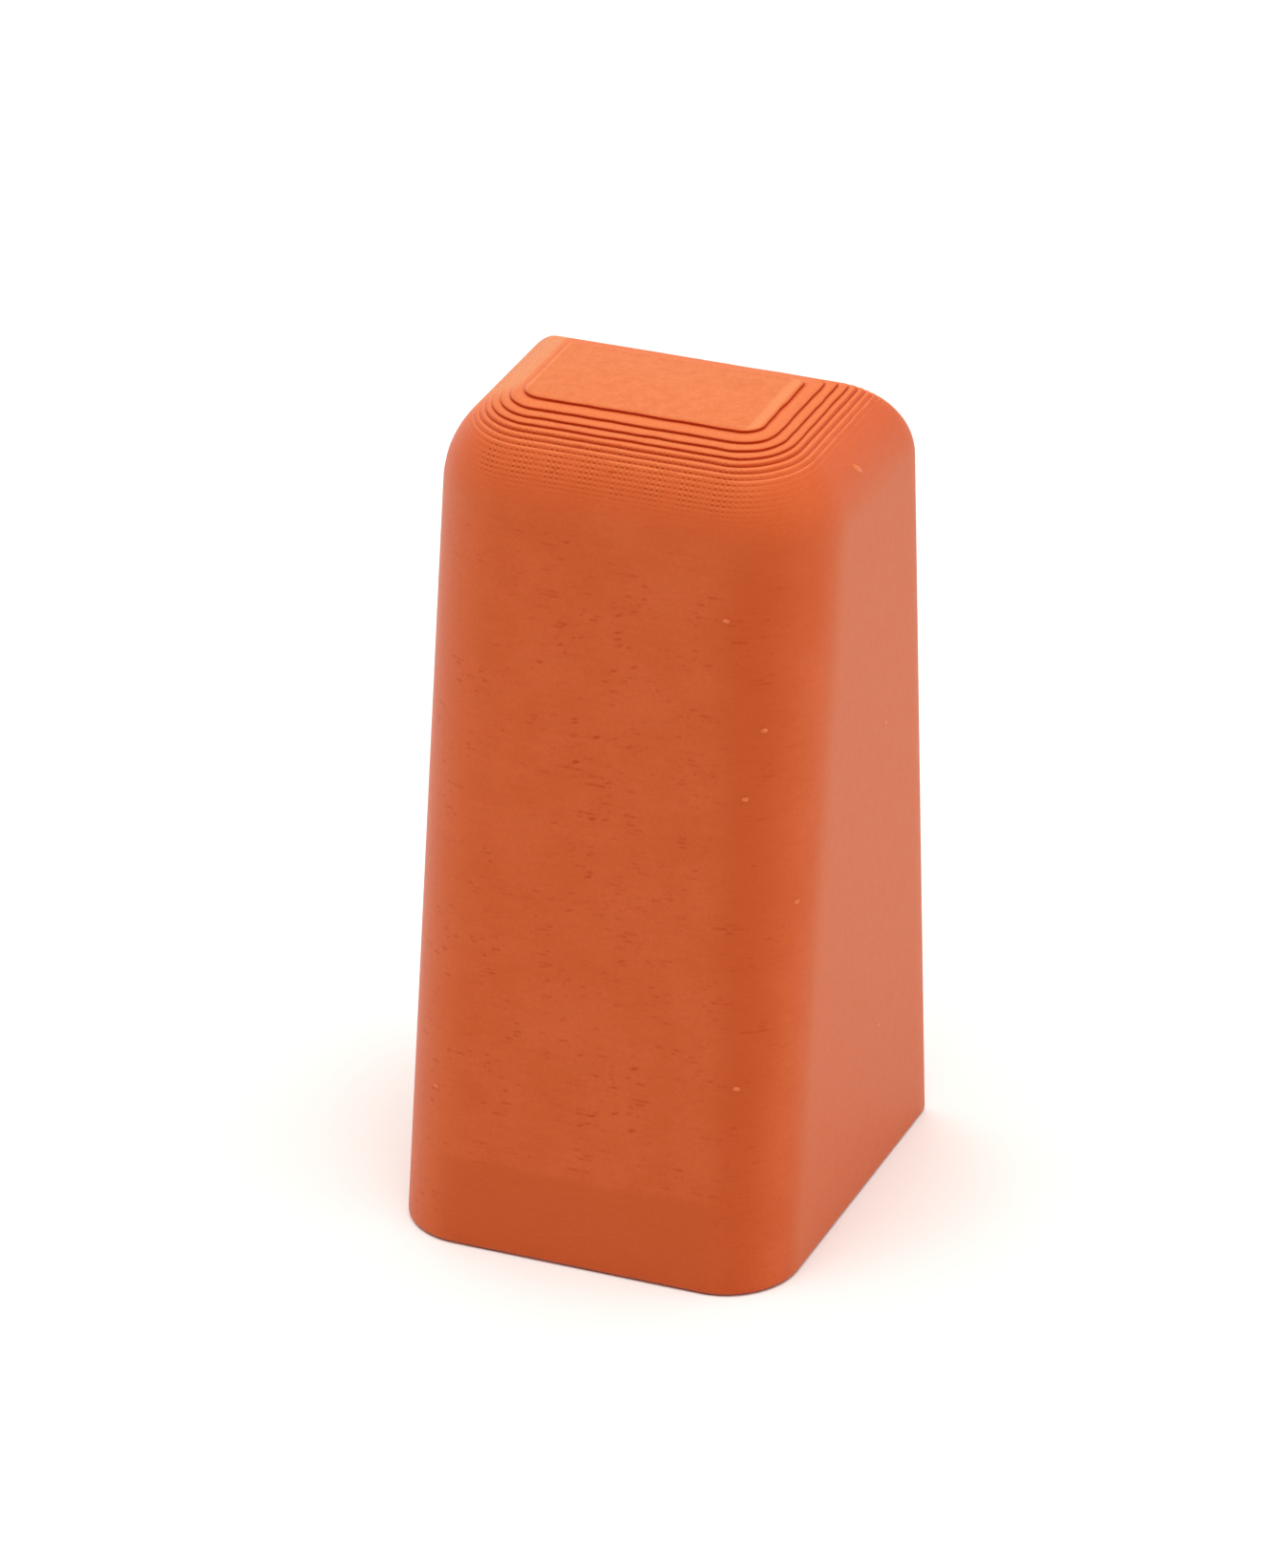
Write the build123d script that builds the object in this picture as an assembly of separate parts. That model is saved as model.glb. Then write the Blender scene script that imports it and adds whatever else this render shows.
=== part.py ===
"""A small upright block, printed in one piece.

The block stands on a square base. Its back and its two sides are upright, and its
front leans back towards the top. One round of constant radius runs over the top
into all four walls and leaves a flat land in the middle. The two front edges start
with that radius below the top and sharpen towards the base. The two back edges are
only just eased.
X is the width, -Y is the front, and Z is up. The origin is the middle of the base.
"""
from build123d import *
import math
import os

# Driving dimensions, in millimetres and degrees
HEIGHT = 40.0
BASE_WIDTH = 19.7
BASE_DEPTH = 19.7
FRONT_LEAN_ANGLE = 9.75
FRONT_EDGE_RADIUS_AT_BASE = 3.5
BACK_EDGE_RADIUS = 0.5
CROWN_RADIUS = 4.85


def side_profile():
    """The block seen from its side: upright at the back, leaning at the front."""
    lean = HEIGHT * math.tan(math.radians(FRONT_LEAN_ANGLE))
    front = -BASE_DEPTH / 2
    back = BASE_DEPTH / 2
    outline = Polyline((front, 0), (front + lean, HEIGHT), (back, HEIGHT), (back, 0), close=True)
    return Plane.YZ * make_face(outline)


def upright_edges(body):
    """The long edges that run up the body, ordered from its front to its back."""
    long_edges = body.edges().filter_by(lambda edge: edge.bounding_box().size.Z > HEIGHT / 2)
    return long_edges.sort_by(Axis.Y)


def rounded_wedge():
    """The wedge with its top and its two front edges rounded by one radius."""
    wedge = extrude(side_profile(), BASE_WIDTH / 2, both=True)
    rim = wedge.faces().sort_by(Axis.Z)[-1].edges()
    front_edges = upright_edges(wedge)[:2]
    return fillet(rim + front_edges, CROWN_RADIUS)


def base_outline():
    """The outline on the floor: a rectangle with its two front corners rounded."""
    outline = Rectangle(BASE_WIDTH, BASE_DEPTH)
    front_corners = outline.vertices().group_by(Axis.Y)[0]
    return fillet(front_corners, FRONT_EDGE_RADIUS_AT_BASE)


def block():
    """The round top on a body whose front edges sharpen towards the base."""
    crown_start = Plane.XY.offset(HEIGHT - CROWN_RADIUS)
    crown = split(rounded_wedge(), bisect_by=crown_start, keep=Keep.TOP)
    underside = crown.faces().sort_by(Axis.Z)[0]
    body = crown + loft([base_outline(), Sketch() + underside], ruled=True)
    back_edges = upright_edges(body)[-2:]
    return fillet(back_edges, BACK_EDGE_RADIUS)


os.makedirs("parts", exist_ok=True)
export_step(block(), "parts/tapered_block.step")
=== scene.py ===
# %% [markdown]
# # A small block, printed in layers
# The CAD model gives the true form of this block: a square base, three upright walls, a front
# that leans back, and a round top. The real one was printed from plastic, one thin layer on
# another, and this lesson adds what that leaves behind: the stack of layers, the steps on the
# round top, the small faults of the print, and the look of satin orange plastic.
# Blender works in metres here, and the block is only 40 mm tall, so lengths are written in
# millimetres and multiplied by `MM`.

# %% Load the frame
import math
from collections import namedtuple

import bmesh
import bpy
from mathutils import Matrix, Quaternion, Vector, noise


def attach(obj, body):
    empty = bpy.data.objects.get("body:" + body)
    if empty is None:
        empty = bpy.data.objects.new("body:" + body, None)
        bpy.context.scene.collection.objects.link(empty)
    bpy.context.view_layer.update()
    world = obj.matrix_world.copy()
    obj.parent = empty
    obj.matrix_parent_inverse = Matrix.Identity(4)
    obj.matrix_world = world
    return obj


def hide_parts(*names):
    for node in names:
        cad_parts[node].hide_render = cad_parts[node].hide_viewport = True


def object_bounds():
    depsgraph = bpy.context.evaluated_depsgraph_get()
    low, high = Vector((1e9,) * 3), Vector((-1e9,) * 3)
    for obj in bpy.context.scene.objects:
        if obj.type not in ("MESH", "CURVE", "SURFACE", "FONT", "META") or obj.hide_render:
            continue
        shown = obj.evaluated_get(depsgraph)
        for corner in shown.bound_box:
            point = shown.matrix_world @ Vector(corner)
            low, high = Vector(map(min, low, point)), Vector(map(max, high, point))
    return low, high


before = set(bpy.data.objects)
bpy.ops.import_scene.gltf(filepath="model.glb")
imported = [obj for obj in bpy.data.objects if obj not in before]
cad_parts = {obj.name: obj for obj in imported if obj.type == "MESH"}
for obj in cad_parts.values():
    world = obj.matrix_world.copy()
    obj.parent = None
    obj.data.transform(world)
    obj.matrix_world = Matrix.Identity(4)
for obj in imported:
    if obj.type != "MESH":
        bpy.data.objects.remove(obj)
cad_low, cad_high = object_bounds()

MM = 0.001
block_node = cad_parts["tapered_block"]
height = cad_high.z - cad_low.z
print("CAD block, mm:", [round(side / MM, 3) for side in cad_high - cad_low])

# %% [markdown]
# ## Slice the solid
# A printer's own software cuts a solid into layers and draws the outline of each one. The
# lesson could work out those outlines from the block's sizes, but then it would have to know
# them. It cuts the CAD mesh instead, with `bisect_plane`, once in the middle of each layer.
# A layer's outline is a rectangle with rounded corners, so five lengths describe it: half its
# width, its front, its back, and the radius of its front and back corners. A rounded corner
# falls short of a sharp one along the diagonal, and that shortfall gives the radius. The
# slicing goes upwards and drops what lies below, so the mesh gets smaller with every cut.

# %% Measure every layer
LAYER_HEIGHT = 0.2 * MM
MERGE_DISTANCE = 0.0005 * MM
SMALLEST_RADIUS = 0.05 * MM
DIAGONAL = math.sqrt(2)

Outline = namedtuple("Outline", "half_width front back front_radius back_radius")


def corner_radius(sharp_reach, round_reach):
    """The radius of a square corner that reaches less far than a sharp one."""
    return max((sharp_reach - round_reach) / (DIAGONAL - 1), SMALLEST_RADIUS)


def slice_outline(solid, level):
    """The outline of the solid at a height. What lies below is cleared."""
    whole = solid.verts[:] + solid.edges[:] + solid.faces[:]
    cut = bmesh.ops.bisect_plane(
        solid, geom=whole, dist=MERGE_DISTANCE, plane_co=(0, 0, level), plane_no=(0, 0, 1),
        clear_inner=True)
    points = [item.co for item in cut["geom_cut"] if isinstance(item, bmesh.types.BMVert)]
    half_width = max(abs(point.x) for point in points)
    front = min(point.y for point in points)
    back = max(point.y for point in points)
    front_reach = max(abs(point.x) - point.y for point in points)
    back_reach = max(abs(point.x) + point.y for point in points)
    front_radius = corner_radius((half_width - front) / DIAGONAL, front_reach / DIAGONAL)
    back_radius = corner_radius((half_width + back) / DIAGONAL, back_reach / DIAGONAL)
    return Outline(half_width, front, back, front_radius, back_radius)


layer_count = round(height / LAYER_HEIGHT)
layer_height = height / layer_count
solid = bmesh.new()
solid.from_mesh(block_node.data)
bmesh.ops.remove_doubles(solid, verts=solid.verts, dist=MERGE_DISTANCE)
outlines = []
for layer in range(layer_count):
    outlines.append(slice_outline(solid, cad_low.z + (layer + 0.5) * layer_height))
solid.free()
print("layers:", layer_count)
for layer in (0, layer_count // 2, layer_count - 1):
    print("  layer", layer, [round(length / MM, 3) for length in outlines[layer]])

# %% [markdown]
# ## Steps or slopes
# On the round top the layers show as steps, because each one stops well short of the one
# below. On the walls the plastic runs together into a slope. Steps everywhere would look like
# a staircase, and a slope everywhere would lose the lines of the top. So each loop of a layer
# follows its own layer's outline near the top, and the true slope lower down, with a mix in
# between.

# %% Mix a step with a slope
STEPS_START = 38.2 * MM
STEPS_FULL = 39.4 * MM
FEWEST_STEPS = 0.06
CROWN_START = 35.2 * MM


def smooth_share(value, low, high):
    """A smooth rise from 0 at low to 1 at high."""
    share = min(max((value - low) / (high - low), 0), 1)
    return share * share * (3 - 2 * share)


def mix(first, second, share):
    """A number between two others."""
    return first + (second - first) * share


def mix_outlines(first, second, share):
    """An outline between two others."""
    return Outline(*[mix(one, other, share) for one, other in zip(first, second)])


def slope_outline(level):
    """The outline at any height, between the two nearest slices."""
    position = (level - cad_low.z) / layer_height - 0.5
    position = min(max(position, 0), layer_count - 1)
    below = min(int(position), layer_count - 2)
    return mix_outlines(outlines[below], outlines[below + 1], position - below)


def step_share(level):
    """How much of a step is left at a height: none on the walls, all near the top."""
    few = FEWEST_STEPS * smooth_share(level - cad_low.z, CROWN_START, STEPS_START)
    return mix(few, 1, smooth_share(level - cad_low.z, STEPS_START, STEPS_FULL))


for level in (20, 36, 38.5, 39, 39.5):
    print("steps at", level, "mm:", round(step_share(cad_low.z + level * MM), 2))

# %% [markdown]
# ## Draw the layers
# A layer is a squeezed bead of plastic. Its edge bulges in the middle and draws in where it
# meets its neighbours. A bump texture could suggest that, but the steps of the top show in
# the block's outline, so they are modelled. Each layer gets four loops: a drawn-in one at the
# bottom, two at the bulge, and a drawn-in one at the top. A loop starts as a rectangle,
# `bevel` rounds its four corners, and `subdivide_edges` gives the straight runs enough points
# to be uneven: a nozzle never draws a perfect line. The rectangle's face goes first, because
# cutting the edges of a face would split it.

# %% Draw one loop
FRONT_SEGMENTS = 12
BACK_SEGMENTS = 3
FRONT_CUTS = 31
SIDE_CUTS = 15
BACK_CUTS = 9
LONGEST_CHORD = 1.2 * MM
WALL_WOBBLE = 0.004 * MM
STEP_WOBBLE = 0.100 * MM
WOBBLE_LENGTH = 0.9 * MM
LAYER_STRIDE = 7.31
CREASE = "crease"


def new_mesh():
    """An empty mesh whose points carry a number: 1 in the crease of a step, 0 elsewhere."""
    mesh = bmesh.new()
    mesh.verts.layers.float.new(CREASE)
    return mesh


def outward(point, outline):
    """The direction in which a point of an outline faces."""
    at_front = point.y < (outline.front + outline.back) / 2
    radius = outline.front_radius if at_front else outline.back_radius
    reach = outline.half_width - radius
    nearest = outline.front + outline.front_radius
    furthest = outline.back - outline.back_radius
    middle_x = min(max(point.x, -reach), reach)
    middle_y = min(max(point.y, nearest), furthest)
    return Vector((point.x - middle_x, point.y - middle_y, 0)).normalized()


def unevenness(point, layer):
    """How far a layer's edge draws back at a point, never less than zero."""
    along = Vector((point.x / WOBBLE_LENGTH, point.y / WOBBLE_LENGTH, layer * LAYER_STRIDE))
    return mix(WALL_WOBBLE, STEP_WOBBLE, step_share(point.z)) * (1 + noise.noise(along)) / 2


def round_corners(mesh, corners, radius, segments):
    """Rounds corners of a flat face."""
    return bmesh.ops.bevel(
        mesh, geom=corners, offset=radius, offset_type="OFFSET", segments=segments,
        profile=0.5, affect="VERTICES", material=-1)


def draw_loop(mesh, layer, inset, level, crease=0):
    """A closed loop of edges around one layer, drawn in by an inset."""
    earlier = set(mesh.edges)
    crease_layer = mesh.verts.layers.float[CREASE]
    outline = mix_outlines(slope_outline(level), outlines[layer], step_share(level))
    side = outline.half_width - inset
    front = outline.front + inset
    back = outline.back - inset
    places = ((-side, front), (side, front), (side, back), (-side, back))
    corners = [mesh.verts.new((x, y, level)) for x, y in places]
    mesh.faces.new(corners)
    front_radius = max(outline.front_radius - inset, SMALLEST_RADIUS)
    back_radius = max(outline.back_radius - inset, SMALLEST_RADIUS)
    round_corners(mesh, corners[:2], front_radius, FRONT_SEGMENTS)
    rounded = round_corners(mesh, corners[2:], back_radius, BACK_SEGMENTS)
    sheet = rounded["verts"][0].link_faces[0]
    straight = [edge for edge in sheet.edges if edge.calc_length() > LONGEST_CHORD]
    straight.sort(key=lambda edge: edge.verts[0].co.y + edge.verts[1].co.y)
    bmesh.ops.delete(mesh, geom=[sheet], context="FACES_ONLY")
    bmesh.ops.subdivide_edges(mesh, edges=straight[:1], cuts=FRONT_CUTS)
    bmesh.ops.subdivide_edges(mesh, edges=straight[1:3], cuts=SIDE_CUTS)
    bmesh.ops.subdivide_edges(mesh, edges=straight[3:], cuts=BACK_CUTS)
    loop = [edge for edge in mesh.edges if edge not in earlier]
    for vertex in {vertex for edge in loop for vertex in edge.verts}:
        vertex.co -= outward(vertex.co, outline) * unevenness(vertex.co, layer)
        vertex[crease_layer] = crease
    return loop


trial = new_mesh()
trial_loop = draw_loop(trial, 0, 0, cad_low.z)
print("points in a loop:", len(trial_loop))
trial.free()

# %% [markdown]
# ## Stack the layers
# `bridge_loops` joins each loop to the next. Where the block narrows, the bridge between two
# layers is a flat step, as it is on the real one. The lowest layer was pressed on to the
# plate, so its edge is rounded under. Each layer is drawn in a small mesh of its own, because
# operators are fast on small meshes. It starts with a copy of the top loop of the layer
# below. When all layers lie in one mesh, the copies fall on their originals and
# `remove_doubles` joins them. Each point also carries a number, its crease, which is high
# at the foot of a step, so that painted shade can darken the colours there.

# %% Stack the layers
WALL_GROOVE = 0.004 * MM
STEP_GROOVE = 0.040 * MM
STEP_ROUND = 0.090 * MM
BULGE_START_SHARE = 0.3
BULGE_END_SHARE = 0.65
BASE_EDGE = ((0, 0.24 * MM), (0.4, 0.10 * MM), (0.75, 0.02 * MM))


def layer_loops(layer):
    """The four loops of a layer: how far drawn in, at what height, and how creased."""
    bottom = cad_low.z + layer * layer_height
    share = step_share(bottom + layer_height / 2)
    foot = mix(WALL_GROOVE, STEP_GROOVE, share)
    brow = mix(WALL_GROOVE, STEP_ROUND, share)
    profile = [(0, foot), (BULGE_START_SHARE, 0), (BULGE_END_SHARE, 0), (1, brow)]
    if layer == 0:
        profile[:3] = BASE_EDGE
    loops = [(layer, inset, bottom + part * layer_height, 0) for part, inset in profile]
    loops[0] = (*loops[0][:3], share)
    return loops


def join_loops(mesh, loops):
    """Draws loops and joins each to the next."""
    last_loop = None
    for layer, inset, level, crease in loops:
        loop = draw_loop(mesh, layer, inset, level, crease)
        if last_loop:
            bmesh.ops.bridge_loops(mesh, edges=last_loop + loop)
        last_loop = loop
    return last_loop


def add_mesh(whole, part):
    """Adds one mesh to another and frees it."""
    carrier = bpy.data.meshes.new("carrier")
    part.to_mesh(carrier)
    part.free()
    whole.from_mesh(carrier)
    bpy.data.meshes.remove(carrier)


block = new_mesh()
for layer in range(layer_count):
    wall = new_mesh()
    below = layer_loops(layer - 1)[-1:] if layer > 0 else []
    join_loops(wall, below + layer_loops(layer))
    add_mesh(block, wall)
print("stacked:", len(block.verts), "points,", len(block.faces), "faces")

# %% [markdown]
# ## Close the top and the base
# On the top land the nozzle drew one bead around the edge and then filled the middle, so a
# shallow groove runs inside that bead. It takes a few more loops, each a little further in.
# The base is flat: it was printed on a smooth plate, and one face fills it.

# %% Fill the land and the base
EDGE_BEAD_WIDTH = 0.34 * MM
EDGE_GROOVE_HALF_WIDTH = 0.05 * MM
EDGE_GROOVE_DEPTH = 0.014 * MM
LAND_DROP = 0.003 * MM

last_layer = layer_count - 1
land = new_mesh()
land_loops = [
    layer_loops(last_layer)[-1],
    (last_layer, EDGE_BEAD_WIDTH, cad_high.z, 0),
    (last_layer, EDGE_BEAD_WIDTH + EDGE_GROOVE_HALF_WIDTH, cad_high.z - EDGE_GROOVE_DEPTH, 0),
    (last_layer, EDGE_BEAD_WIDTH + 2 * EDGE_GROOVE_HALF_WIDTH, cad_high.z - LAND_DROP, 0)]
bmesh.ops.edgeloop_fill(land, edges=join_loops(land, land_loops))
add_mesh(block, land)
base = new_mesh()
bmesh.ops.edgeloop_fill(base, edges=join_loops(base, layer_loops(0)[:1]))
add_mesh(block, base)
bmesh.ops.remove_doubles(block, verts=block.verts, dist=MERGE_DISTANCE)
bmesh.ops.recalc_face_normals(block, faces=block.faces)
triangles = sum(len(face.verts) - 2 for face in block.faces)
open_edges = sum(edge.is_boundary for edge in block.edges)
print("closed block:", triangles, "triangles,", open_edges, "open edges")

# %% [markdown]
# ## Make the object
# The finished mesh becomes an object at the origin, with its place in its mesh, as the CAD
# node has. It rides on the block's one body and stands for the CAD node, which is hidden.
# Smooth shading suits the walls, and edges sharper than `SHARP_ANGLE` stay crisp, which keeps
# the steps from looking like wax.

# %% Make the object
SHARP_ANGLE = math.radians(44)


def make_piece(name, mesh):
    """An object at the origin, with its place in its mesh."""
    data = bpy.data.meshes.new(name)
    mesh.to_mesh(data)
    mesh.free()
    data.shade_smooth()
    data.set_sharp_from_angle(angle=SHARP_ANGLE)
    piece = bpy.data.objects.new(name, data)
    bpy.context.scene.collection.objects.link(piece)
    return piece


printed_block = make_piece("printed_block", block)
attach(printed_block, "root")
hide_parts("tapered_block")
print("piece:", printed_block.name, len(printed_block.data.polygons), "faces")

# %% [markdown]
# ## Specks
# A nozzle drops a speck of plastic here and there. They could be painted on, but they are
# small lumps that catch the light. Each one is a small ball, pressed flat against the wall it
# sits on: `create_icosphere` with a matrix that turns the ball's Z along the wall's outward
# direction. A speck is placed by its x and z on the front, or by its y and z on the
# right-hand side, and the outline at its height tells where the surface is. One of them was
# dragged out into a slanting streak.

# %% Make the specks
SPECK_RADIUS = 0.17 * MM
SPECK_NARROWING = 0.7
SPECK_HEIGHT = 0.040 * MM
SIDE_SPECK_HEIGHT = 0.012 * MM
FRONT_SPECKS = (
    (6.06, 32.5), (7.89, 27.3), (7.28, 24.1), (9.35, 18.7), (7.55, 10.2), (-7.54, 7.5))
SIDE_SPECKS = ((5.42, 23.2), (3.87, 7.8))
CROWN_STREAK = (3.53, 37.2)
STREAK_FACING = Vector((1, 0, 0.5))
STREAK_TILT = math.radians(-45)
STREAK_HALF_LENGTH = 0.42 * MM
STREAK_HALF_WIDTH = 0.16 * MM


def front_point(x, level):
    """The point of the front at a width and a height, and the outline there."""
    outline = slope_outline(level)
    over = max(abs(x) - (outline.half_width - outline.front_radius), 0)
    rise = outline.front_radius - math.sqrt(outline.front_radius ** 2 - over ** 2)
    return Vector((x, outline.front + rise, level)), outline


def add_speck(mesh, point, facing, size, tilt=0):
    """One flattened ball on a surface that faces a direction."""
    turn = facing.to_track_quat("Z", "Y").to_matrix().to_4x4() @ Matrix.Rotation(tilt, 4, "Z")
    matrix = Matrix.Translation(point) @ turn @ Matrix.Diagonal((*size, 1))
    bmesh.ops.create_icosphere(mesh, subdivisions=2, radius=1, matrix=matrix)


specks = bmesh.new()
front_size = (SPECK_RADIUS, SPECK_RADIUS * SPECK_NARROWING, SPECK_HEIGHT)
for x, level in FRONT_SPECKS:
    point, outline = front_point(x * MM, cad_low.z + level * MM)
    add_speck(specks, point, outward(point, outline), front_size)
side_size = (SPECK_RADIUS, SPECK_RADIUS, SIDE_SPECK_HEIGHT)
for y, level in SIDE_SPECKS:
    point = Vector((cad_high.x - SIDE_SPECK_HEIGHT, y * MM, cad_low.z + level * MM))
    add_speck(specks, point, Vector((1, 0, 0)), side_size)
y, level = CROWN_STREAK
streak_level = cad_low.z + level * MM
streak_size = (STREAK_HALF_LENGTH, STREAK_HALF_WIDTH, SPECK_HEIGHT)
point = Vector((slope_outline(streak_level).half_width, y * MM, streak_level))
add_speck(specks, point, STREAK_FACING, streak_size, STREAK_TILT)
bmesh.ops.recalc_face_normals(specks, faces=specks.faces)
print_specks = make_piece("print_specks", specks)
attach(print_specks, "root")
print("piece:", print_specks.name, len(print_specks.data.polygons), "faces")

# %% [markdown]
# ## A shorthand for materials
# A material is a web of nodes. The class below wraps one output of a node, so that a sum of
# two wires is written as a sum and adds a Math node by itself. Every other node comes from
# its one method, `add`.

# %% Wire class


class Wire:
    """One output of a node in a material."""

    def __init__(self, tree, socket=None):
        self.tree = tree
        self.socket = socket

    def add(self, kind, settings, inputs, output=0):
        """A new node: its settings first, then the values or wires of its sockets."""
        node = self.tree.nodes.new(kind)
        for name, value in settings.items():
            setattr(node, name, value)
        for name, value in inputs.items():
            if isinstance(value, Wire):
                self.tree.links.new(value.socket, node.inputs[name])
            else:
                node.inputs[name].default_value = value
        return Wire(self.tree, node.outputs[output])

    def feed(self, node, name):
        """Links this wire to a socket of a node that is already there."""
        self.tree.links.new(self.socket, node.inputs[name])

    def other(self, output):
        """Another output of the same node."""
        return Wire(self.tree, self.socket.node.outputs[output])

    def math(self, operation, *values):
        """A Math node."""
        return self.add("ShaderNodeMath", {"operation": operation}, dict(enumerate(values)))

    def __add__(self, other):
        return self.math("ADD", self, other)

    def __radd__(self, other):
        return self.math("ADD", other, self)

    def __sub__(self, other):
        return self.math("SUBTRACT", self, other)

    def __rsub__(self, other):
        return self.math("SUBTRACT", other, self)

    def __mul__(self, other):
        return self.math("MULTIPLY", self, other)

    def __rmul__(self, other):
        return self.math("MULTIPLY", other, self)

    def __truediv__(self, other):
        return self.math("DIVIDE", self, other)

    def __neg__(self):
        return self.math("MULTIPLY", self, -1)

    def floor(self):
        """The whole number below."""
        return self.math("FLOOR", self)

    def clamp(self):
        """The number kept between 0 and 1."""
        return self.add("ShaderNodeClamp", {}, {0: self})

    def distance(self, other):
        """How far the number is from another."""
        return self.math("ABSOLUTE", self - other)

    def wave(self, length):
        """A sine wave between -1 and 1."""
        return self.math("SINE", self * (2 * math.pi / length))

    def ramp(self, low, high):
        """A smooth rise from 0 at low to 1 at high."""
        inputs = {"Value": self, "From Min": low, "From Max": high}
        return self.add("ShaderNodeMapRange", {"interpolation_type": "SMOOTHSTEP"}, inputs)

    def tint(self, first, second):
        """A colour between two others: the first at 0, the second at 1."""
        inputs = {0: self, 6: first, 7: second}
        return self.add("ShaderNodeMix", {"data_type": "RGBA"}, inputs, 2)

    def split(self):
        """The three numbers of a vector."""
        first = self.add("ShaderNodeSeparateXYZ", {}, {0: self})
        return first, first.other(1), first.other(2)

    def vector(self, x, y, z):
        """A vector of three numbers."""
        return self.add("ShaderNodeCombineXYZ", {}, {0: x, 1: y, 2: z})

    def noise(self, scale, detail=2.0, roughness=0.5):
        """Cloudy noise around 0.5 at this wire's places."""
        inputs = {"Vector": self, "Scale": scale, "Detail": detail, "Roughness": roughness}
        return self.add("ShaderNodeTexNoise", {}, inputs, 0)


print("wire methods:", sum(callable(item) for item in vars(Wire).values()))

# %% [markdown]
# ## What the plastic needs to know
# The marks of the print depend on where a point lies and which way it faces. Object
# coordinates, turned into millimetres, keep the patterns fixed on the block, and the height
# divided by a layer's height counts the layers. `front` marks the leaning front and `flat`
# the faces that look up.

# %% Read the surface
Surface = namedtuple("Surface", "start spot x y z layers layer right rear up front flat")


def read_surface(tree):
    """Where a point of the block lies, in millimetres and layers, and which way it faces."""
    start = Wire(tree)
    place = start.add("ShaderNodeTexCoord", {}, {}, "Object")
    to_millimetres = {0: place, "Scale": 1 / MM}
    spot = start.add("ShaderNodeVectorMath", {"operation": "SCALE"}, to_millimetres)
    x, y, z = spot.split()
    layers = z / (layer_height / MM)
    right, rear, up = start.add("ShaderNodeNewGeometry", {}, {}, "Normal").split()
    front = (-rear).ramp(0.45, 0.85)
    flat = up.ramp(0.75, 0.97)
    return Surface(start, spot, x, y, z, layers, layers.floor(), right, rear, up, front, flat)


print("surface fields:", len(Surface._fields))

# %% [markdown]
# ## Marks of the print
# Each function below gives one mark as a number from 0, not there, to 1. The lowest layers
# are smoother and make a band. Short dashes show where the nozzle skipped. Pits gather in a
# strip where it started each layer, and a Voronoi texture, stretched and slanted, scatters
# them. Fine beads cover the front of the round top in groups of columns: two waves make the
# columns, a third the rows, and what is above 0 is dark and what is below is pale. A painted
# map would do the same, but it would need a picture. Lengths are in millimetres here, and a
# pair of them says where a mark begins to come or go and where it has done so.

# %% Marks of the print
BAND_TOP = 4.4
BAND_SWAY = 1.2
BAND_BLUR = (-0.35, 0.25)
BAND_SIDES = (6.0, 8.0)
DASHES_END = (34.0, 36.0)
PIT_STRIP_FOOT = 2.1
PIT_STRIP_LEAN = 0.093
PIT_STRIP_SIDES = (0.4, 5.0)
PIT_SLANT = 0.28
BEAD_WIDTH = 0.275
BEAD_GROUP_WIDTH = 1.65
BEAD_CONTRAST = 1.4
BEADS_START = (36.9, 38.0)
BEADS_END = (39.0, 39.3)
SMUDGE_PLACE = (3.4, 4.8, 40.0)
SMUDGE_EDGE = (0.2, 1.1)


def band_mark(surface):
    """The smoother lowest layers of the front."""
    sway = BAND_SWAY * (surface.start.vector(surface.x * 0.3, 0.0, 0.0).noise(1.0) - 0.5)
    low = 1 - (surface.z - (BAND_TOP + sway)).ramp(*BAND_BLUR)
    return surface.front * low * (1 - surface.x.distance(0.0).ramp(*BAND_SIDES))


def dash_mark(surface):
    """Short dashes along the layers of the front, in patches."""
    row = 1 - (surface.layers - surface.layer).distance(0.5).ramp(0.1, 0.5)
    patches = surface.spot.noise(0.6, 3.0).ramp(0.42, 0.60)
    along = surface.start.vector(surface.x * 1.6, surface.y * 0.4, surface.layer * 3.7)
    dashes = along.noise(1.0, 3.0).ramp(0.54, 0.68)
    return dashes * row * patches * surface.front * (1 - surface.z.ramp(*DASHES_END))


def pit_mark(surface):
    """Slanting pits in a strip up the front."""
    middle = PIT_STRIP_FOOT - PIT_STRIP_LEAN * surface.z
    strip = 1 - surface.x.distance(middle).ramp(*PIT_STRIP_SIDES)
    patches = surface.spot.noise(0.45, 3.0).ramp(0.40, 0.58)
    slanted = (surface.z - PIT_SLANT * surface.x) * 2.7
    places = surface.start.vector(surface.x * 1.1, 0.0, slanted)
    settings = {"Vector": places, "Scale": 1.0}
    cells = surface.start.add("ShaderNodeTexVoronoi", {}, settings, "Distance")
    kept = cells.other("Color").split()[0].ramp(0.35, 0.95)
    return (1 - cells.ramp(0.08, 0.34)) * kept * strip * patches * surface.front


def bead_wave(surface):
    """Fine beads on the front of the round top, dark above 0 and pale below."""
    columns = surface.x.wave(BEAD_WIDTH).ramp(-0.5, 0.5)
    groups = 0.45 + 0.55 * surface.x.wave(BEAD_GROUP_WIDTH).ramp(-0.5, 0.3)
    zone = surface.z.ramp(*BEADS_START) * (1 - surface.z.ramp(*BEADS_END))
    zone = zone * (-surface.rear).ramp(0.10, 0.45) * surface.spot.noise(0.7).ramp(0.20, 0.45)
    zone = zone * (1 - surface.right.distance(0.0).ramp(0.2, 0.5))
    return BEAD_CONTRAST * columns * groups * surface.layers.wave(1.0) * zone


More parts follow.
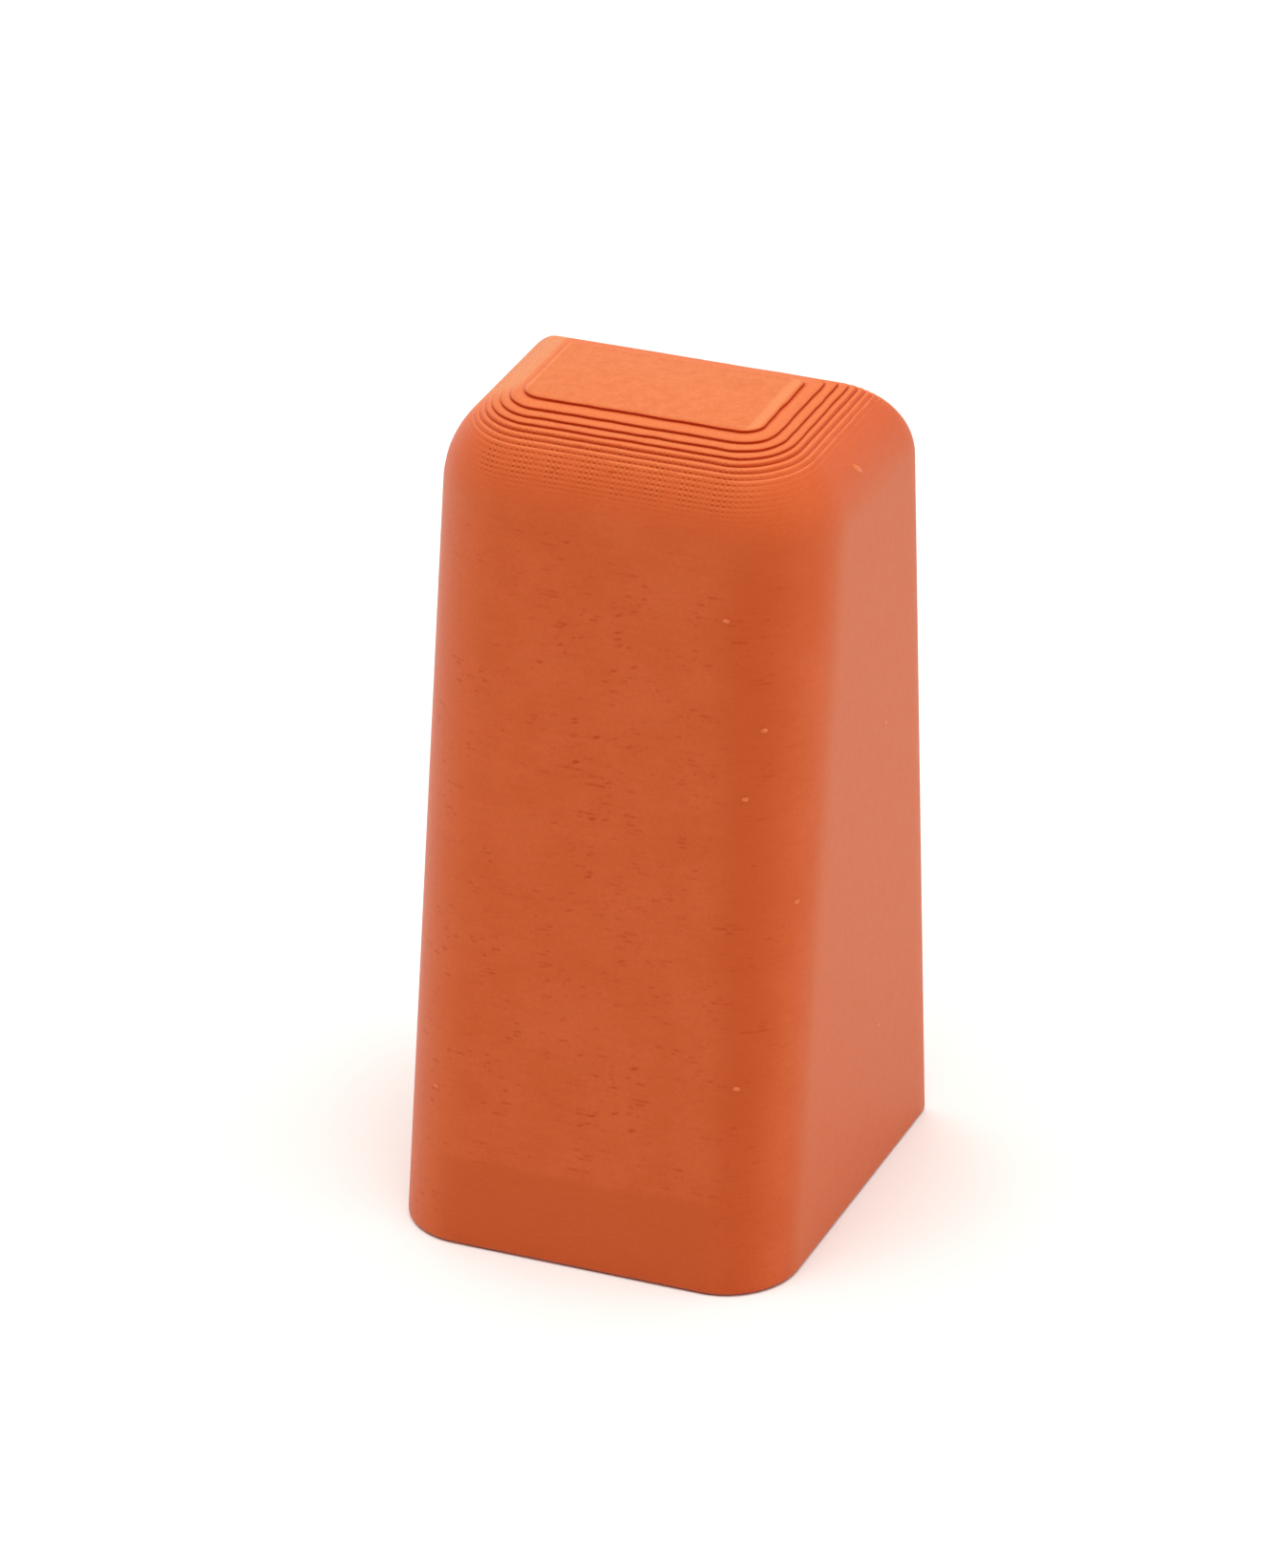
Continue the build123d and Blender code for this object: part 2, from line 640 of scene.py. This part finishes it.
def smudge_mark(surface):
    """A faint smudge on the land."""
    ends = {0: surface.spot, 1: SMUDGE_PLACE}
    settings = {"operation": "DISTANCE"}
    off_centre = surface.start.add("ShaderNodeVectorMath", settings, ends, "Value")
    patches = surface.spot.noise(2.0, 3.0).ramp(0.4, 0.6)
    return surface.flat * (1 - off_centre.ramp(*SMUDGE_EDGE)) * patches


print("beads:", BEAD_WIDTH, "mm wide, in groups of", BEAD_GROUP_WIDTH, "mm")

# %% [markdown]
# ## Tones of the plastic
# The colour isn't even, apart from the marks. Cloudy patches run over the walls. Much of the
# rest is painted light and shade. Toward the round top the walls are painted warmer and
# brighter, as if lit more from above. The rounded front edge on the left carries a warmer
# painted sheen, the one on the right a redder band of painted shade, and the sides a little
# painted sheen that makes them yellower. Flat faces that look up are painted paler, as if
# lit from above, most of all the treads on the left, with a painted reflection, and the
# beads along the land's edges, with a painted highlight. The fronts of the steps are painted
# shade, deep orange and uneven, and painted shade darkens the treads in the creases next to
# them. Each of these is a mix over the one before it. A pair of numbers says where a tone
# begins and where it is full, in millimetres.

# %% Tones of the plastic
ORANGE = (0.60, 0.093, 0.0205, 1)
WARM_ORANGE = (0.635, 0.108, 0.029, 1)
LEFT_SHEEN_ORANGE = (0.66, 0.118, 0.031, 1)
SHADED_RED_ORANGE = (0.54, 0.072, 0.014, 1)
SIDE_SHEEN_ORANGE = (0.60, 0.106, 0.020, 1)
BAND_ORANGE = (0.55, 0.080, 0.016, 1)
LIT_TOP_ORANGE = (0.65, 0.152, 0.045, 1)
LIT_PALE_ORANGE = (0.69, 0.183, 0.059, 1)
LIT_TREAD_ORANGE = (0.73, 0.172, 0.055, 1)
LEDGE_SHEEN_ORANGE = (0.74, 0.275, 0.120, 1)
RIM_HIGHLIGHT_ORANGE = (0.75, 0.245, 0.092, 1)
SHADED_STEP_ORANGE = (0.56, 0.052, 0.006, 1)
DEEP_ORANGE = (0.42, 0.042, 0.005, 1)
MARK_ORANGE = (0.48, 0.044, 0.006, 1)
PAINTED_CROWN_LIGHT_START = (35.0, 37.5)
SHADE_BAND_END = (34.0, 38.0)
LAND_LEVEL = (39.9, 39.97)
RISER_SHADE_START = (38.6, 39.3)
LEDGE_SHEEN_SIDE = (6.15, 6.5)
LEDGE_SHEEN_FRONT = (-0.5, 2.0)
LEFT_RIM_HIGHLIGHT = (5.62, 5.80)
RIGHT_RIM_HIGHLIGHT_START = (5.2, 5.45)
RIGHT_RIM_HIGHLIGHT_END = (5.75, 5.95)


def wall_colour(surface):
    """The walls and the rounded edges, with painted light, sheen and shade on them."""
    clouds = surface.spot.noise(0.35, 4.0, 0.6)
    along = surface.start.vector(surface.x * 0.6, surface.y * 0.6, surface.layer * 3.7)
    tone = (0.75 * clouds + 0.25 * along.noise(1.0)).ramp(0.35, 0.65)
    # Painted sheen: the rounded edge that turns to the left is warmer and brighter, as a
    # grazing reflection makes it.
    painted_left_sheen = (-surface.right).ramp(0.0, 0.4)
    # Painted shade: a darker, redder band where the front starts to round to the right,
    # fading out toward the top.
    right_rounding_shade = surface.right.ramp(-0.05, 0.42) * (1 - surface.right.ramp(0.5, 0.92))
    colour = tone.tint(ORANGE, WARM_ORANGE)
    # Painted light: the walls turn warmer and brighter toward the round top, as if lit more
    # from above.
    colour = (0.5 * surface.z.ramp(*PAINTED_CROWN_LIGHT_START)).tint(colour, WARM_ORANGE)
    colour = (0.6 * painted_left_sheen).tint(colour, LEFT_SHEEN_ORANGE)
    painted_shade_band = 0.7 * right_rounding_shade * (1 - surface.z.ramp(*SHADE_BAND_END))
    colour = painted_shade_band.tint(colour, SHADED_RED_ORANGE)
    # Painted sheen: the walls facing left and right are a little yellower, as the grazing
    # sheen makes them.
    return surface.right.distance(0.0).ramp(0.95, 0.999).tint(colour, SIDE_SHEEN_ORANGE)


def painted_lit_top_colour(surface):
    """The land and the treads, painted paler as if lit from above, with painted highlights
    and reflection.
    """
    grain = surface.spot.noise(1.6, 4.0, 0.7).ramp(0.35, 0.65)
    on_land = surface.z.ramp(*LAND_LEVEL)
    # Painted reflection: the treads on the left are much paler, as a grazing reflection makes
    # them.
    painted_ledge_sheen = (-surface.x).ramp(*LEDGE_SHEEN_SIDE) * surface.y.ramp(*LEDGE_SHEEN_FRONT)
    # Painted highlight: pale lines along the land's left and right edges, where the edge
    # beads catch the light.
    left_rim_highlight = (-surface.x).ramp(*LEFT_RIM_HIGHLIGHT)
    right_rim_highlight = surface.x.ramp(*RIGHT_RIM_HIGHLIGHT_START) * (1 - surface.x.ramp(*RIGHT_RIM_HIGHLIGHT_END))
    colour = grain.tint(LIT_TOP_ORANGE, LIT_PALE_ORANGE)
    colour = (0.7 * (1 - on_land)).tint(colour, LIT_TREAD_ORANGE)
    colour = ((1 - on_land) * painted_ledge_sheen).tint(colour, LEDGE_SHEEN_ORANGE)
    return (0.8 * on_land * (left_rim_highlight + right_rim_highlight)).tint(colour, RIM_HIGHLIGHT_ORANGE)


def painted_riser_shade(surface):
    """Painted shade on the fronts of the steps, uneven along each layer."""
    along = surface.start.vector(surface.x * 1.2, surface.y * 1.2, surface.layer * 5.1)
    shaded_riser = surface.z.ramp(*RISER_SHADE_START) * (1 - surface.up.ramp(0.5, 0.92))
    return (shaded_riser * (0.07 + 1.4 * along.noise(1.0))).clamp()


def painted_crease_shade(surface):
    """Painted shade on the treads next to a step, where less light gets in."""
    depth = surface.start.add("ShaderNodeAttribute", {"attribute_name": CREASE}, {}, "Fac")
    return surface.flat * depth.ramp(0.6, 1.0)


print("tones:", "walls, top, steps and creases")

# %% [markdown]
# ## Satin orange plastic
# The tones and the marks come together on one Principled shader. The sheen is broad and soft.
# Face on it is a little orange, because much of the light that a satin plastic throws back
# has been inside it. At a low angle it turns white, which makes a side look paler there: a
# paler paint would do it in one view only. The sides still carry a little painted sheen in
# their tones. Bump adds a fine grain and lets the marks dip. The specks are of the same
# plastic, but paler, because they cooled in the air.

# %% Orange plastic
SPECULAR_LEVEL = 0.58
SPECULAR_TINT = (1.0, 0.5, 0.25, 1)
ROUGHNESS = 0.46
GRAIN_HEIGHT = 0.03 * MM
SPECK_ORANGE = (0.70, 0.145, 0.046, 1)
PALE_SPECK_ORANGE = (0.76, 0.185, 0.062, 1)


def new_plastic(name):
    """A material with the plastic's sheen, and its shader."""
    material = bpy.data.materials.new(name)
    material.use_nodes = True
    shader = material.node_tree.nodes["Principled BSDF"]
    shader.inputs["Specular IOR Level"].default_value = SPECULAR_LEVEL
    shader.inputs["Specular Tint"].default_value = SPECULAR_TINT
    shader.inputs["Roughness"].default_value = ROUGHNESS
    return material, shader


def feed_grain(surface, height, shader):
    """A fine bump."""
    inputs = {"Strength": 0.5, "Distance": GRAIN_HEIGHT, "Height": height}
    surface.start.add("ShaderNodeBump", {}, inputs, "Normal").feed(shader, "Normal")


def block_plastic():
    """The plastic of the block, with its tones and marks."""
    material, shader = new_plastic("orange_print_plastic")
    surface = read_surface(material.node_tree)
    band = band_mark(surface)
    dashes = dash_mark(surface) * (1 - band)
    pits = pit_mark(surface) * (1 - band)
    beads = bead_wave(surface)
    fine = surface.spot.noise(6.0).ramp(0.35, 0.65)
    colour = (0.7 * band).tint(wall_colour(surface), BAND_ORANGE)
    # Painted light: faces that look up take the paler top colours, as if lit from above.
    colour = surface.flat.tint(colour, painted_lit_top_colour(surface))
    # Painted shade: the treads darken next to the foot of each step.
    colour = (0.6 * painted_crease_shade(surface)).tint(colour, SHADED_STEP_ORANGE)
    # Painted shade: the fronts of the steps are darkened, unevenly along each layer.
    colour = painted_riser_shade(surface).tint(colour, SHADED_STEP_ORANGE)
    faults = 0.60 * dashes + pits + 0.13 * fine
    colour = faults.clamp().tint(colour, MARK_ORANGE)
    dark = 0.9 * beads.clamp() + 0.18 * smudge_mark(surface)
    colour = dark.clamp().tint(colour, DEEP_ORANGE)
    colour = (0.8 * (-beads).clamp()).tint(colour, LIT_TOP_ORANGE)
    colour.feed(shader, "Base Color")
    rough = ROUGHNESS + 0.12 * (surface.spot.noise(2.5, 3.0) - 0.5) + 0.10 * surface.flat
    rough.feed(shader, "Roughness")
    relief = 0.25 * surface.spot.noise(7.0, 3.0) - 0.4 * pits - 0.2 * dashes - 0.3 * beads
    feed_grain(surface, relief, shader)
    return material


def speck_plastic():
    """The plastic of the specks."""
    material, shader = new_plastic("speck_plastic")
    surface = read_surface(material.node_tree)
    clouds = surface.spot.noise(5.0)
    clouds.ramp(0.35, 0.65).tint(SPECK_ORANGE, PALE_SPECK_ORANGE).feed(shader, "Base Color")
    feed_grain(surface, clouds, shader)
    return material


for piece, material in ((printed_block, block_plastic()), (print_specks, speck_plastic())):
    piece.data.materials.append(material)
    print("material:", material.name, len(material.node_tree.nodes), "nodes")

# %% [markdown]
# ## Floor
# The block stands on a white floor, one large flat face. It throws light back on to the
# walls, and takes on a little orange next to the block.

# %% White floor
FLOOR_WHITE = (0.94, 0.94, 0.94, 1)
FLOOR_SIZE = 6.0
FLOOR_ROUGHNESS = 0.9

floor_mesh = bmesh.new()
bmesh.ops.create_grid(floor_mesh, x_segments=1, y_segments=1, size=FLOOR_SIZE / 2)
bmesh.ops.translate(floor_mesh, verts=floor_mesh.verts, vec=(0, 0, cad_low.z))
floor = make_piece("floor", floor_mesh)
floor_material = bpy.data.materials.new("white_floor")
floor_material.use_nodes = True
floor_shader = floor_material.node_tree.nodes["Principled BSDF"]
floor_shader.inputs["Base Color"].default_value = FLOOR_WHITE
floor_shader.inputs["Roughness"].default_value = FLOOR_ROUGHNESS
floor_shader.inputs["Specular IOR Level"].default_value = 0.0
floor.data.materials.append(floor_material)
print("floor:", FLOOR_SIZE, "m")

# %% [markdown]
# ## Light
# One broad lamp hangs overhead and makes the top the brightest side. A small lamp on the
# right lifts the right-hand wall. The rest is a white room, which is the world's background.
# A photographer stands in the way of some of it, so the room gives less light from the
# viewer's side. The room is dimmer as a lamp than it looks: the Light Path node keeps it
# white where it is seen straight or in a reflection.

# %% White room and lamps
ROOM_LIGHT = 0.38
ROOM_LOOK = 1.0
VIEWER_SIDE = (0.41, -0.91, 0.0)
VIEWER_SHADE = 0.55
VIEWER_SHADE_EDGE = (0.2, 0.9)
WARM_WHITE = (1.0, 0.985, 0.94)
OVERHEAD_PLACE = (0, 0, 1.8)
OVERHEAD_SIZE = 2.4
OVERHEAD_POWER = 46
RIGHT_PLACE = (1.2, 0.15, 0.5)
RIGHT_SIZE = 0.8
RIGHT_POWER = 2.6


def light_room():
    """A white room around the block."""
    world = bpy.data.worlds.new("white_room")
    bpy.context.scene.world = world
    world.use_nodes = True
    background = world.node_tree.nodes["Background"]
    background.inputs["Color"].default_value = (1, 1, 1, 1)
    start = Wire(world.node_tree)
    direction = start.add("ShaderNodeTexCoord", {}, {}, "Generated")
    ends = {0: direction, 1: VIEWER_SIDE}
    towards = start.add("ShaderNodeVectorMath", {"operation": "DOT_PRODUCT"}, ends, "Value")
    light = ROOM_LIGHT * (1 - VIEWER_SHADE * towards.ramp(*VIEWER_SHADE_EDGE))
    ray = start.add("ShaderNodeLightPath", {}, {}, "Is Camera Ray")
    seen = (ray + ray.other("Is Glossy Ray") + ray.other("Is Transmission Ray")).clamp()
    (light + (ROOM_LOOK - light) * seen).feed(background, "Strength")


def add_lamp(name, place, size, power):
    """A square lamp that faces the block."""
    lamp_data = bpy.data.lights.new(name, "AREA")
    lamp_data.shape = "SQUARE"
    lamp_data.size = size
    lamp_data.energy = power
    lamp_data.color = WARM_WHITE
    lamp = bpy.data.objects.new(name, lamp_data)
    lamp.location = place
    lamp.rotation_mode = "QUATERNION"
    lamp.rotation_quaternion = (-lamp.location).to_track_quat("-Z", "Y")
    bpy.context.scene.collection.objects.link(lamp)
    print(name, power, "W")


light_room()
add_lamp("overhead_lamp", OVERHEAD_PLACE, OVERHEAD_SIZE, OVERHEAD_POWER)
add_lamp("right_lamp", RIGHT_PLACE, RIGHT_SIZE, RIGHT_POWER)

# %% [markdown]
# ## Camera
# The camera stands where the photograph was taken from: in front, to the right and above,
# about 420 mm away, with a long lens. Its place came from matching the block's outline. The
# lens is written in pixels of the picture's height, and the sensor's height turns that into
# millimetres.

# %% Camera
CAMERA_PLACE = Vector((153.058, -338.526, 223.182)) * MM
CAMERA_TARGET = Vector((-0.375, -0.170, 20.824)) * MM
CAMERA_ROLL = math.radians(-1.801)
FOCAL_PIXELS = 9525.95
PHOTO_HEIGHT_PIXELS = 1642
SENSOR_HEIGHT = 24.0
NEAREST_SEEN = 10 * MM

camera_data = bpy.data.cameras.new("camera")
camera_data.sensor_fit = "VERTICAL"
camera_data.sensor_height = SENSOR_HEIGHT
camera_data.lens = FOCAL_PIXELS / PHOTO_HEIGHT_PIXELS * SENSOR_HEIGHT
camera_data.clip_start = NEAREST_SEEN
camera = bpy.data.objects.new("camera", camera_data)
camera.location = CAMERA_PLACE
camera.rotation_mode = "QUATERNION"
looking = (CAMERA_TARGET - CAMERA_PLACE).to_track_quat("-Z", "Y")
camera.rotation_quaternion = looking @ Quaternion((0, 0, 1), CAMERA_ROLL)
bpy.context.scene.collection.objects.link(camera)
bpy.context.scene.camera = camera
bpy.context.scene.view_settings.view_transform = "Standard"
print("lens:", round(camera_data.lens, 2), "mm")

# %% [markdown]
# The dressed block must stay inside the CAD model's box.
